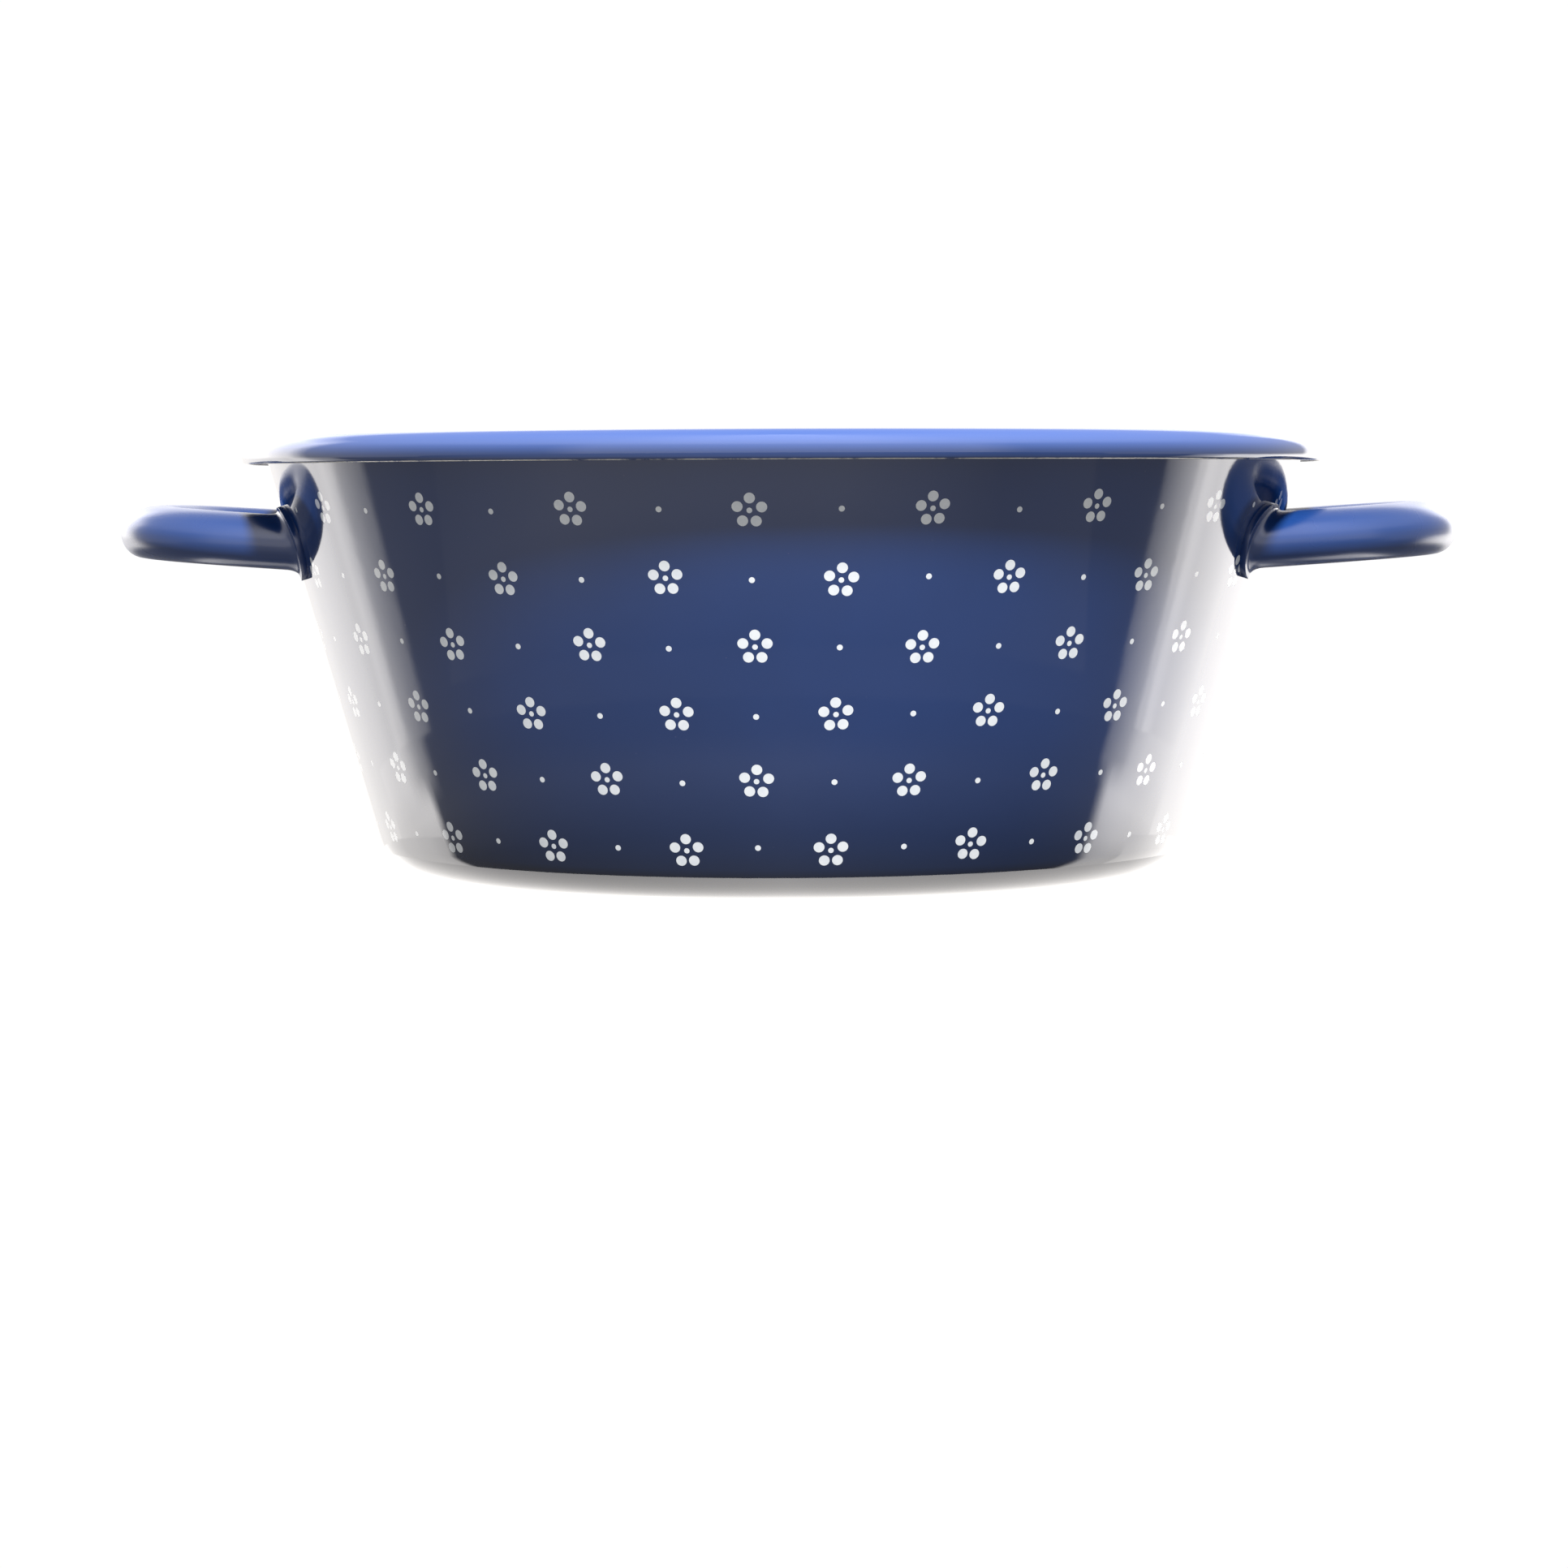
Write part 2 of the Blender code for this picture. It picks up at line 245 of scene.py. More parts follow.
def hole_places():
    """Centres of the drain holes, in rings about the middle of the panel."""
    panel, _ = panel_radius()
    rings = int((panel - HOLE_EDGE_MARGIN - HOLE_DIAMETER / 2) / HOLE_PITCH)
    places = []
    for ring in range(rings + 1):
        count = max(1, HOLES_PER_RING_STEP * ring)
        for k in range(count):
            angle = 2 * math.pi * (k + 0.5 * (ring % 2)) / count
            places.append((ring * HOLE_PITCH * math.cos(angle), ring * HOLE_PITCH * math.sin(angle)))
    return places


def ring_of_verts(bm, centre, radius, z, sides):
    """Vertices on a level circle."""
    verts = []
    for k in range(sides):
        angle = 2 * math.pi * k / sides
        verts.append(bm.verts.new((centre[0] + radius * math.cos(angle),
                                   centre[1] + radius * math.sin(angle), z)))
    return verts


def bridge(bm, first, second):
    """Quads between two closed rings of the same count."""
    count = len(first)
    for k in range(count):
        after = (k + 1) % count
        bm.faces.new((first[k], first[after], second[after], second[k]))


def fill_panel(bm, rim, holes):
    """Flat faces between the panel's rim and the rings round its holes."""
    loops = [rim] + [ring for _, ring in holes]
    verts = [v for loop in loops for v in loop]
    edges = []
    start = 0
    for loop in loops:
        edges += [(start + k, start + (k + 1) % len(loop)) for k in range(len(loop))]
        start += len(loop)
    flat = [v.co.xy for v in verts]
    _, _, faces, origins, _, _ = delaunay_2d_cdt(flat, edges, [], 0, FILL_MERGE)
    open_radius = HOLE_DIAMETER / 2
    for face in faces:
        corners = [verts[origins[k][0]] for k in face]
        middle = sum((v.co.xy for v in corners), Vector((0, 0))) / len(corners)
        if all((middle - Vector(place)).length > open_radius for place, _ in holes):
            bm.faces.new(corners)


def hole_profile():
    """Radius and height of a drain hole's rounded wall, from its lower face to its upper face."""
    bore = HOLE_DIAMETER / 2
    low, high = PANEL_RISE, PANEL_RISE + SHEET
    axes = (HOLE_ROUND, HOLE_ROUND)
    below = arc((bore + HOLE_ROUND, low + HOLE_ROUND), axes, 270, 180, HOLE_ROUND_STEPS)
    above = arc((bore + HOLE_ROUND, high - HOLE_ROUND), axes, 180, 90, HOLE_ROUND_STEPS)
    outer = bore + HOLE_ROUND + HOLE_FLAT
    return [(outer, low)] + below + above + [(outer, high)]


def make_bowl(material):
    """The bowl as one closed sheet: turned faces, rounded lip edge and panel with rounded holes."""
    mesh = bpy.data.meshes.new("bowl_visual")
    bm = bmesh.new()
    bm.verts.layers.float.new("edge_wear")
    bm.verts.layers.float.new("lip_pale")
    bm.verts.layers.float.new("foot_dark")
    wear, pale = bm.verts.layers.float["edge_wear"], bm.verts.layers.float["lip_pale"]
    foot = bm.verts.layers.float["foot_dark"]
    outer, inner = bowl_face(0.0), bowl_face(SHEET)
    edge_centre = ((outer[-1][0] + inner[-1][0]) / 2, (outer[-1][1] + inner[-1][1]) / 2)
    edge = arc(edge_centre, (SHEET / 2, SHEET / 2), 180 - lip_end_deg(), 360 - lip_end_deg(), EDGE_STEPS)
    chain = outer + edge[1:-1] + inner[::-1]
    rings = [ring_of_verts(bm, (0, 0), radius, z, BOWL_STEPS) for radius, z in chain]
    for first, second in zip(rings, rings[1:]):
        bridge(bm, first, second)
    holes = []
    for place in hole_places():
        wall = [ring_of_verts(bm, place, radius, z, HOLE_SIDES) for radius, z in hole_profile()]
        for first, second in zip(wall, wall[1:]):
            bridge(bm, first, second)
        holes.append((place, wall))
    fill_panel(bm, rings[0], [(place, wall[0]) for place, wall in holes])
    fill_panel(bm, rings[-1], [(place, wall[-1]) for place, wall in holes])
    bmesh.ops.recalc_face_normals(bm, faces=bm.faces)
    for ring in rings[len(outer):len(outer) + len(edge) - 2]:
        for vert in ring:
            vert[wear] = 1.0
    # Painted light: paler enamel on the outer side of the lip's curl, fading in away from its crest
    for k in range(CURL_STEPS + 1):
        for vert in rings[len(outer) + len(edge) - 2 + k]:
            vert[pale] = max(0.0, min(1.0, LIP_LIGHT_RISE * k / CURL_STEPS - LIP_LIGHT_START))
    # Painted shade: share of darker enamel rising towards the foot of the wall
    for (_, z), ring in zip(outer, rings):
        for vert in ring:
            vert[foot] = max(0.0, 1 - max(z, 0.0) / FOOT_SHADE_TOP) ** FOOT_SHADE_POWER
    for _, wall in holes:
        for ring in wall[1:-1]:
            for vert in ring:
                vert[wear] = HOLE_WEAR
    bm.to_mesh(mesh)
    bm.free()
    return add_object("bowl_visual", mesh, material)


# Handles

def channel_section():
    """Outer face of the channel as (across, up), from the finger side over to the turned edge."""
    half = CHANNEL_WIDTH / 2
    crown = CROWN_INSET - half
    inner_centre = (crown, CHANNEL_HEIGHT - INNER_SHOULDER)
    inner = arc(inner_centre, (CROWN_INSET, INNER_SHOULDER), 180, 90, CROWN_STEPS[0])
    outer_axes = (half - crown, CHANNEL_HEIGHT - NOSE_HEIGHT)
    outer = arc((crown, NOSE_HEIGHT), outer_axes, 90, 0, CROWN_STEPS[1])
    under = arc((half - UNDER_TURN, NOSE_HEIGHT), (UNDER_TURN, NOSE_HEIGHT), 0, -90, UNDER_STEPS)
    skirt = [(-half, CHANNEL_HEIGHT - INNER_SHOULDER - INNER_SKIRT)]
    skirt += between(skirt[0], inner[0], SKIRT_STEPS)
    return skirt + inner + outer[1:] + under[1:]


def flange_outline(section):
    """Points (across, up) of the flange's edge, one for each point of the section."""
    crown = CROWN_STEPS[0] + SKIRT_STEPS
    last = len(section) - 1
    above = CHANNEL_HEIGHT + FLANGE_MARGIN - FLANGE_WIDEST
    below = FLANGE_WIDEST + FLANGE_DROP
    half_width = CHANNEL_WIDTH / 2 + FLANGE_MARGIN
    outline = []
    for k in range(last + 1):
        if k <= crown:
            angle = FLANGE_INNER_END + (math.pi / 2 - FLANGE_INNER_END) * k / crown
        else:
            angle = math.pi / 2 + (FLANGE_OUTER_END - math.pi / 2) * (k - crown) / (last - crown)
        cosine, sine = math.cos(angle), math.sin(angle)
        height, squareness = below, FLANGE_POINT_SQUARENESS
        if sine > 0:
            height, squareness = above, FLANGE_TOP_SQUARENESS
        across = math.copysign(half_width * abs(cosine) ** (2 / squareness), cosine)
        climb = math.copysign(height * abs(sine) ** (2 / squareness), sine)
        outline.append((across, FLANGE_WIDEST + climb))
    return outline


def handle_base_height():
    """Height of the arms' underside where they meet the wall."""
    return HEIGHT - HANDLE_DROP


def loop_frame(turn):
    """Point on the loop's level centre line, and its sideways direction."""
    reach_from = wall_radius(handle_base_height())
    half_width = (LOOP_WIDTH - CHANNEL_WIDTH) / 2
    start = math.sqrt(reach_from ** 2 - half_width ** 2)
    depth = reach_from + HANDLE_REACH - CHANNEL_WIDTH / 2 - start
    power = 2 / LOOP_SQUARENESS
    cosine, sine = math.cos(turn), math.sin(turn)
    aside = math.copysign(half_width * abs(sine) ** power, sine)
    point = Vector((start + depth * cosine ** power, aside, 0))
    slope = 2 - power
    side = Vector((cosine ** slope / depth, math.copysign(abs(sine) ** slope / half_width, sine), 0))
    return point, side.normalized()


def tilted(point):
    """Lift a point of the level loop to its height, tilted up and out from the wall."""
    pivot = wall_radius(handle_base_height())
    out = point.x - pivot
    return Vector((pivot + out * math.cos(HANDLE_TILT) - point.z * math.sin(HANDLE_TILT), point.y,
                   handle_base_height() + out * math.sin(HANDLE_TILT) + point.z * math.cos(HANDLE_TILT)))


def on_wall(angle, z, offset):
    """Point at an angle about the bowl's axis, standing off the wall's outer face."""
    radius = wall_radius(z) + offset * math.cos(WALL_FLARE)
    height = z - offset * math.sin(WALL_FLARE)
    return Vector((radius * math.cos(angle), radius * math.sin(angle), height))


def arm_foot(point, direction, offset):
    """Where an arm's surface line, followed back along the arm, reaches the sheet on the wall."""
    reach = 0.0
    for _ in range(FOOT_PASSES):
        place = point + direction * reach
        away = wall_radius(place.z) + offset / math.cos(WALL_FLARE)
        reach += (math.sqrt(max(away ** 2 - place.y ** 2, 0.0)) - place.x) / direction.x
    return point + direction * reach


def welded_end(section, side):
    """Rows of outer-face points from the flange's edge on the wall up to the straight arm."""
    offset = WELD_GAP + HANDLE_SHEET
    half_width = (LOOP_WIDTH - CHANNEL_WIDTH) / 2
    arm = Vector((math.cos(HANDLE_TILT), 0, math.sin(HANDLE_TILT)))
    pivot = wall_radius(handle_base_height())
    rows = [[] for _ in range(FLANGE_STATIONS + BEND_STATIONS + 1)]
    for (across, up), (edge_across, edge_up) in zip(section, flange_outline(section)):
        level = Vector((pivot, side * (half_width + across), up))
        foot = arm_foot(tilted(level), arm, offset)
        wall_z = foot.z + offset * math.sin(WALL_FLARE)
        angle = math.atan2(foot.y, foot.x)
        turn = side * (edge_across - across) / wall_radius(wall_z)
        climb = handle_base_height() + edge_up - wall_z
        share = min(FLANGE_BEND_SHARE, FLANGE_BEND / math.hypot(edge_across - across, climb))
        on_flange = on_wall(angle + turn * share, wall_z + climb * share, offset)
        on_arm = foot + arm * FLANGE_BEND
        for k in range(FLANGE_STATIONS):
            part = 1 + (share - 1) * k / FLANGE_STATIONS
            rows[k].append(on_wall(angle + turn * part, wall_z + climb * part, offset))
        for k in range(BEND_STATIONS + 1):
            t = k / BEND_STATIONS
            bend = on_flange * (1 - t) ** 2 + foot * 2 * t * (1 - t) + on_arm * t ** 2
            rows[FLANGE_STATIONS + k].append(bend)
    return rows


def handle_rows():
    """Outer-face rows of the whole handle, from one welded end round the loop to the other."""
    section = channel_section()
    first = welded_end(section, -1)
    last = welded_end(section, 1)
    pivot = wall_radius(handle_base_height())
    clear = max(point.x for point in first[-1]) - pivot + FLANGE_BEND / 2
    turn_limit = math.pi / 2
    while loop_frame(turn_limit)[0].x < pivot + clear:
        turn_limit -= TURN_TRIM
    loop = []
    for k in range(LOOP_STATIONS):
        point, outward = loop_frame(turn_limit * (2 * k / (LOOP_STATIONS - 1) - 1))
        loop.append([tilted(point + outward * across + Vector((0, 0, up))) for across, up in section])
    return first + loop + last[::-1]


def sheet_normals(rows):
    """Unit normals of a grid of surface points, pointing away from the hollow of the channel."""
    normals = []
    for i, row in enumerate(rows):
        before, after = rows[max(i - 1, 0)], rows[min(i + 1, len(rows) - 1)]
        line = []
        for j in range(len(row)):
            along = after[j] - before[j]
            across = row[min(j + 1, len(row) - 1)] - row[max(j - 1, 0)]
            line.append(along.cross(across).normalized())
        normals.append(line)
    crown = len(rows) // 2
    top = max(range(len(rows[crown])), key=lambda j: rows[crown][j].z)
    flip = 1 if normals[crown][top].z > 0 else -1
    return [[normal * flip for normal in line] for line in normals]


def sheet_depth(row, rows):
    """Thickness at a row: the flange's enamel closes the gap to the wall, the arm is plain sheet."""
    from_end = min(row, rows - 1 - row)
    blend = min(max((from_end - FLANGE_STATIONS) / BEND_STATIONS, 0.0), 1.0)
    return HANDLE_SHEET + (WELD_GAP + WELD_FILL) * (1 - blend)


def make_handle(name, turn, material):
    """One pressed handle as a closed sheet with rounded edges."""
    outer = handle_rows()
    normals = sheet_normals(outer)
    hidden = []
    for i, (row, line) in enumerate(zip(outer, normals)):
        depth = sheet_depth(i, len(outer))
        hidden.append([p - n * depth for p, n in zip(row, line)])
    mesh = bpy.data.meshes.new(name)
    bm = bmesh.new()
    top, under = ([[bm.verts.new(point) for point in row] for row in grid] for grid in (outer, hidden))
    last_row, last_column = len(top) - 1, len(top[0]) - 1
    for grid in (top, under):
        for i in range(last_row):
            for j in range(last_column):
                bm.faces.new((grid[i][j], grid[i + 1][j], grid[i + 1][j + 1], grid[i][j + 1]))
    for j in range(last_column):
        for i in (0, last_row):
            bm.faces.new((top[i][j], top[i][j + 1], under[i][j + 1], under[i][j]))
    for i in range(last_row):
        for j in (0, last_column):
            bm.faces.new((top[i][j], top[i + 1][j], under[i + 1][j], under[i][j]))
    bmesh.ops.recalc_face_normals(bm, faces=bm.faces)
    bmesh.ops.rotate(bm, verts=bm.verts, cent=(0, 0, 0), matrix=Matrix.Rotation(turn, 3, "Z"))
    bm.to_mesh(mesh)
    bm.free()
    handle = add_object(name, mesh, material)
    rounding = handle.modifiers.new("edges", "BEVEL")
    rounding.width = EDGE_ROUND
    rounding.segments = EDGE_ROUND_STEPS
    rounding.limit_method = "ANGLE"
    rounding.angle_limit = EDGE_ANGLE
    return handle


# Print

def under_flange(angle, z):
    """Whether a place on the wall is covered by a handle's flange."""
    half_width = (LOOP_WIDTH - CHANNEL_WIDTH) / 2
    flange_angle = math.asin(half_width / wall_radius(handle_base_height() + FLANGE_WIDEST))
    from_axis = abs((math.degrees(angle) + 90) % 180 - 90)
    across = (math.radians(from_axis) - flange_angle) * wall_radius(z)
    up = z - handle_base_height() - FLANGE_WIDEST
    half_width = CHANNEL_WIDTH / 2 + FLANGE_MARGIN
    above = CHANNEL_HEIGHT + FLANGE_MARGIN - FLANGE_WIDEST
    below = FLANGE_WIDEST + FLANGE_DROP
    height, squareness = below, FLANGE_POINT_SQUARENESS
    if up > 0:
        height, squareness = above, FLANGE_TOP_SQUARENESS
    return (abs(across) / half_width) ** squareness + (abs(up) / height) ** squareness < 1


def add_disc(bm, angle, z, radius, sides):
    """A printed disc that follows the wall."""
    if under_flange(angle, z):
        return

    def place(across, up):
        level = z + up * math.cos(WALL_FLARE)
        return bm.verts.new(on_wall(angle + across / wall_radius(level), level, PRINT_THICKNESS))

    middle = place(0, 0)
    rings = []
    for share in DISC_RINGS:
        ring = []
        for k in range(sides):
            turn = 2 * math.pi * k / sides
            ring.append(place(radius * share * math.cos(turn), radius * share * math.sin(turn)))
        rings.append(ring)
    for k in range(sides):
        bm.faces.new((middle, rings[0][k], rings[0][(k + 1) % sides]))
    for first, second in zip(rings, rings[1:]):
        bridge(bm, second, first)


def make_print(material):
    """Staggered rows of five-petalled flowers with a dot between neighbours."""
    draw = random.Random(PRINT_SEED)
    mesh = bpy.data.meshes.new("flower_print")
    bm = bmesh.new()
    pitch = 2 * math.pi / FLOWERS_PER_ROW
    for row, z in enumerate(PRINT_ROWS):
        shrink = ROW_SHRINK[0] + ROW_SHRINK[1] * row
        for k in range(2 * FLOWERS_PER_ROW):
            bearing = (k / 2 + 0.5 * (row % 2)) * pitch
            bearing = (bearing + math.pi) % (2 * math.pi) - math.pi
            bearing *= 1 - shrink * (1 + math.cos(bearing)) / 2
            wander = draw.uniform(-1, 1) * PRINT_WANDER / wall_radius(z)
            angle = bearing - math.pi / 2 + PRINT_TURN + wander
            level = z + draw.uniform(-1, 1) * PRINT_WANDER
            twist = draw.uniform(-1, 1) * PRINT_TWIST
            if k % 2:
                add_disc(bm, angle, level, DOT_RADIUS, PETAL_SIDES)
                continue
            add_disc(bm, angle, level, EYE_RADIUS, PETAL_SIDES)
            for petal in PETAL_ANGLES:
                lean = math.radians(petal) + twist
                across, up = PETAL_CIRCLE * math.sin(lean), PETAL_CIRCLE * math.cos(lean)
                petal_z = level + up * math.cos(WALL_FLARE)
                add_disc(bm, angle + across / wall_radius(petal_z), petal_z, PETAL_RADIUS, PETAL_SIDES)
    bmesh.ops.recalc_face_normals(bm, faces=bm.faces)
    bm.to_mesh(mesh)
    bm.free()
    return add_object("flower_print", mesh, material)


# Materials

# Sockets of a colour Mix node, which share their names
MIX_SHARE, MIX_FIRST, MIX_SECOND = 0, 6, 7
MIX_COLOUR = 2


def new_material(name):
    """A material with its node tree, its shader and a function that adds linked nodes."""
    material = bpy.data.materials.new(name)
    material.use_nodes = True
    tree = material.node_tree
    shader = tree.nodes["Principled BSDF"]

    def node(kind, values=None, **links):
        made = tree.nodes.new(kind)
        for key, value in (values or {}).items():
            if key in made.inputs:
                made.inputs[key].default_value = value
            else:
                setattr(made, key, value)
        for key, source in links.items():
            tree.links.new(source, made.inputs[key])
        return made
    return material, tree, shader, node


def set_ramp(node, *stops):
    """Give a colour ramp its stops as (position, colour)."""
    elements = node.color_ramp.elements
    while len(elements) < len(stops):
        elements.new(0.5)
    for element, (position, colour) in zip(elements, stops):
        element.position = position
        element.color = colour


def grey(value):
    """A neutral colour."""
    return (value, value, value, 1.0)


def blend(tree, node, share, first, second):
    """A linked colour that a share of a plain second colour covers."""
    mixed = node("ShaderNodeMix", {"data_type": "RGBA"})
    tree.links.new(share, mixed.inputs[MIX_SHARE])
    tree.links.new(first, mixed.inputs[MIX_FIRST])
    mixed.inputs[MIX_SECOND].default_value = second
    return mixed.outputs[MIX_COLOUR]


def product(tree, node, first, second):
    """Two linked values multiplied."""
    times = node("ShaderNodeMath", {"operation": "MULTIPLY"})
    tree.links.new(first, times.inputs[0])
    tree.links.new(second, times.inputs[1])
    return times.outputs["Value"]


def add_gloss(tree, shader, node, place, roughness):
    """Roughness that drifts slowly between two values."""
    haze = node("ShaderNodeTexNoise", {"Scale": 45.0, "Detail": 3.0}, Vector=place)
    limits = {"From Min": 0.3, "From Max": 0.7, "To Min": roughness[0], "To Max": roughness[1]}
    gloss = node("ShaderNodeMapRange", limits, Value=haze.outputs["Fac"])
    tree.links.new(gloss.outputs["Result"], shader.inputs["Roughness"])


def enamel_material(name, roughness):
    """Deep blue vitreous enamel: slow colour drift, orange peel, fine pits, pale worn edges, painted shade
    darkening the foot of the wall, and painted light paling the outer side of the lip's curl.
    """
    material, tree, shader, node = new_material(name)
    shader.inputs["IOR"].default_value = ENAMEL_IOR
    shader.inputs["Metallic"].default_value = 0.0
    place = node("ShaderNodeTexCoord").outputs["Object"]

    drift = node("ShaderNodeTexNoise", {"Scale": 14.0, "Detail": 4.0, "Roughness": 0.55}, Vector=place)
    blues = node("ShaderNodeValToRGB", None, Fac=drift.outputs["Fac"])
    set_ramp(blues, (0.3, BLUE_DEEP), (0.7, BLUE_LIGHT))

    cells = node("ShaderNodeTexVoronoi", {"Scale": 330.0, "feature": "F1"}, Vector=place)
    speck = node("ShaderNodeValToRGB", None, Fac=cells.outputs["Distance"])
    set_ramp(speck, (0.0, grey(1.0)), (0.085, grey(0.0)))
    chance = node("ShaderNodeValToRGB", None, Fac=cells.outputs["Color"])
    set_ramp(chance, (0.80, grey(0.0)), (0.82, grey(1.0)))
    pit = product(tree, node, speck.outputs["Color"], chance.outputs["Color"])
    colour = blend(tree, node, pit, blues.outputs["Color"], PIT_BLUE)

    # Painted shade: the wall's blue darkened towards its foot
    low = node("ShaderNodeAttribute", {"attribute_name": "foot_dark"})
    colour = blend(tree, node, low.outputs["Fac"], colour, FOOT_PAINTED_SHADE)
    # Painted light: paler enamel on the outer side of the lip's curl
    lip_light_mask = node("ShaderNodeAttribute", {"attribute_name": "lip_pale"})
    colour = blend(tree, node, lip_light_mask.outputs["Fac"], colour, LIP_PAINTED_LIGHT)

    edge = node("ShaderNodeAttribute", {"attribute_name": "edge_wear"})
    scuff = node("ShaderNodeTexNoise", {"Scale": 160.0, "Detail": 5.0, "Roughness": 0.65}, Vector=place)
    scuffed = product(tree, node, edge.outputs["Fac"], scuff.outputs["Fac"])
    worn = node("ShaderNodeValToRGB", None, Fac=scuffed)
    set_ramp(worn, (0.36, grey(0.0)), (0.50, grey(1.0)))
    colour = blend(tree, node, worn.outputs["Color"], colour, WORN_EDGE)
    tree.links.new(colour, shader.inputs["Base Color"])
    add_gloss(tree, shader, node, place, roughness)

    slow = node("ShaderNodeTexNoise", {"Scale": 60.0, "Detail": 2.0}, Vector=place)
    peel = node("ShaderNodeTexNoise", {"Scale": 420.0, "Detail": 2.0}, Vector=place)
    wave = node("ShaderNodeBump", {"Strength": 0.35, "Distance": 0.00012}, Height=slow.outputs["Fac"])
    skin = node("ShaderNodeBump", {"Strength": 0.35, "Distance": 0.00001}, Height=peel.outputs["Fac"],
                Normal=wave.outputs["Normal"])
    hollow = node("ShaderNodeBump", {"Strength": 0.3, "Distance": 0.00003, "invert": True},
                  Height=pit, Normal=skin.outputs["Normal"])
    tree.links.new(hollow.outputs["Normal"], shader.inputs["Normal"])
    return material


def print_material():
    """White fired print, a little thin in places so that the blue tints it."""
    material, tree, shader, node = new_material("print_white")
    shader.inputs["IOR"].default_value = ENAMEL_IOR
    place = node("ShaderNodeTexCoord").outputs["Object"]
    thin = node("ShaderNodeTexNoise", {"Scale": 420.0, "Detail": 4.0, "Roughness": 0.6}, Vector=place)
    tint = node("ShaderNodeValToRGB", None, Fac=thin.outputs["Fac"])
    set_ramp(tint, (0.3, PRINT_THIN), (0.6, PRINT_FULL))
    tree.links.new(tint.outputs["Color"], shader.inputs["Base Color"])
    add_gloss(tree, shader, node, place, PRINT_GLOSS)
    return material


# Stage

SEEN_LIGHT = 1.02
WARM_WHITE = (1.0, 0.97, 0.945, 1)
WORLD_LIGHT = 0.36
STAGE_RADIUS = 4.0
CIRCLE_STEPS = 96
FLOOR_Z = -0.001

# Key light, out of sight of the reflections
KEY_PLACE = (0.103, -0.834, 1.257)
KEY_TARGET = (0, -0.1, 0.07)
KEY_POWER = 55
KEY_SIZE = 0.2

# Room that the enamel mirrors, as (degrees from the camera's side, right positive, radiance)
ROOM_RADIUS = 12.0
ROOM_STEP = 0.75
FLOOR_GLOW = ((-180, 0.3), (-110, 0.45), (-60, 0.6), (60, 0.6), (110, 0.45), (180, 0.3))
SIDE_GLOW = ((-180, 1.2), (-165, 1.4), (-150, 2.5), (-133, 4.0), (-128, 4.2), (-124.5, 5.0),
             (-121, 4.6), (-118, 2.9), (-109.5, 1.75), (-107, 0.55), (-60, 0.75), (30, 0.75),
             (94.5, 0.5), (96, 1.85), (105, 4.5), (106.5, 6.5), (108, 6.4), (109.5, 7.8),
             (111, 7.6), (114, 6.6), (129, 6.3), (145, 4.0), (165, 1.6), (180, 1.2))
PANEL_GLOW = ((-180, 1.1), (-165, 2.4), (-155, 5.0), (-125, 5.0), (-117, 1.3), (-50, 1.3), (-40, 2.4),
              (40, 2.4), (50, 1.3), (138, 1.3), (143, 5.0), (158, 4.5), (168, 2.2), (180, 1.1))
SKY_GLOW = ((-180, 0.8), (-130, 1.2), (-60, 2.2), (-20, 3.6), (20, 3.6), (60, 2.2), (130, 1.2), (180, 0.8))
# Degrees up: dip in front of the belt that the wall mirrors, half its height, the fade beside it, and above
BELT_DIP = 33
BELT_HALF = 5
BELT_FADE = 4
PANEL_TOP = 26
SKY_FOOT = 36

# Floor under the base's edge: inner and outer radius, and radiance round it
BASE_RING = (0.06, 0.1022)
BASE_CARD_Z = -0.0007
BASE_GLOW = ((-180, 2.6), (-70, 2.7), (-45, 4.0), (0, 7.2), (30, 5.6), (60, 3.8), (180, 2.6))

# Curtain round the base, below the floor, that the foot of the wall mirrors, high and low on each side
CURTAIN_RADIUS = 0.18
CURTAIN_STEP = 1.0
RIGHT_HIGH = ((0, 0.7), (50, 0.5), (67, 0.5), (69, 2.3), (72, 3.4), (75, 4.5), (77.5, 6.3), (82, 7.0),
              (95, 6.4))
RIGHT_LOW = ((0, 0.9), (50, 0.5), (69.5, 0.5), (73, 7.6), (76, 7.8), (80, 7.6), (84, 7.0), (88, 6.6),
             (95, 6.0))
LEFT_HIGH = ((-108, 3.4), (-100, 4.1), (-94, 4.9), (-90, 4.3), (-86, 2.8), (-83, 2.1), (-80, 0.55),
             (0, 0.7))
LEFT_LOW = ((-108, 3.1), (-102, 3.6), (-97, 4.1), (-93, 4.7), (-89, 5.4), (-86, 5.9), (-83, 0.55),
            (0, 0.9))
# Height of each row of the curtain, whether it takes the low radiance, and the share of it that is left
CURTAIN_ROWS = ((-0.002, False, 1.0), (-0.012, False, 1.0), (-0.021, True, 1.0), (-0.024, True, 1.0),
                (-0.042, True, 0.66), (-0.25, True, 0.66))

# Strip of the floor in front that the top of the wall mirrors, dimmer towards its ends
STRIP_Z = -0.0008
STRIP_RADII = (0.2, 0.27, 0.5)
STRIP_GLOW = (0.7, 1.15, 1.15)
STRIP_END_GLOW = 0.7
STRIP_ENDS = (-70, 60)
STRIP_STEP = 5
STRIP_BRIGHT = (-40, 10)
STRIP_FADE = 30

# Dark floor round the base
SHADE_RADIUS = 0.107
SHADE_Z = -0.0009

# Low card behind the base
BACK_RADIUS = 0.125
BACK_HEIGHTS = (-0.004, -0.08)
BACK_STEP = 5
BACK_GLOW = ((70, 5.5), (90, 5.2), (110, 4.6), (130, 0.3), (225, 0.3), (245, 2.1), (255, 2.1),
             (270, 2.7), (285, 4.1), (290, 4.2))


def staged(point):
    """A point of the stage, laid out as the camera sees it, in the part's frame."""
    return Matrix.Rotation(VIEW_TURN, 3, "Z") @ Vector(point)


